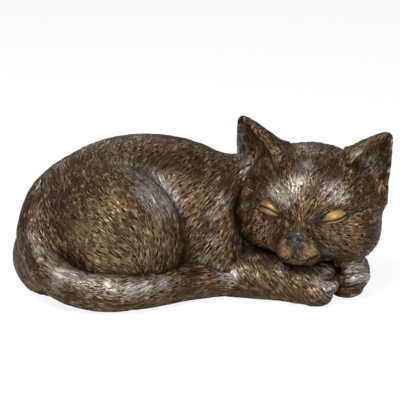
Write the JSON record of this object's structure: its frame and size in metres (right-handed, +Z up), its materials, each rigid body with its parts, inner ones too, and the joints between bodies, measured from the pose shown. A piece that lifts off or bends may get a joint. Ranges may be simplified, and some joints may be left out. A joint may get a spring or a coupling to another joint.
{
  "type": "sleeping cat statue",
  "caption": "Small garden statue of a kitten asleep, curled with its tail round it and its chin on its front paws, cast in bronze-look resin.",
  "frame": {"origin": "on the ground, under the middle of the figure's overall box", "axes": "+X along the figure from rump to head, to the right for someone who faces its front; +Y away from that person, to its back; +Z up"},
  "size_m": [0.295, 0.1598, 0.1436],
  "materials": {
    "bronze_body": "cold-cast resin painted as dark antique bronze, its combed fur dry-brushed with silver and gold",
    "bronze_head": "cold-cast resin painted as antique bronze, with ochre gold eyelids and a satin slate nose",
    "bronze_tail": "cold-cast resin painted as antique bronze, dry-brushed with silver along its top",
    "bronze_foreleg": "cold-cast resin painted as antique bronze, dry-brushed with gold",
    "bronze_forepaw": "cold-cast resin painted as antique bronze, dry-brushed with gold and silver",
    "base_board": "dark stained fibreboard, sawn edge",
    "zinc_steel": "bright zinc-plated steel",
    "foot_rubber": "matt black rubber",
    "pin_steel": "plain drawn steel rod"
  },
  "bodies": {
    "root": {"body_casting": "bronze_body", "head_casting": "bronze_head", "tail_casting": "bronze_tail", "near_foreleg_casting": "bronze_foreleg", "far_forepaw_casting": "bronze_forepaw", "base_plate": "base_board", "base_screw_1": "zinc_steel", "base_screw_2": "zinc_steel", "base_screw_3": "zinc_steel", "base_screw_4": "zinc_steel", "foot_pad_1": "foot_rubber", "foot_pad_2": "foot_rubber", "foot_pad_3": "foot_rubber", "foot_pad_4": "foot_rubber", "neck_pin_1": "pin_steel", "neck_pin_2": "pin_steel", "tail_pin_1": "pin_steel", "tail_pin_2": "pin_steel", "foreleg_pin_1": "pin_steel", "foreleg_pin_2": "pin_steel", "paw_pin": "pin_steel"}
  },
  "joints": []
}
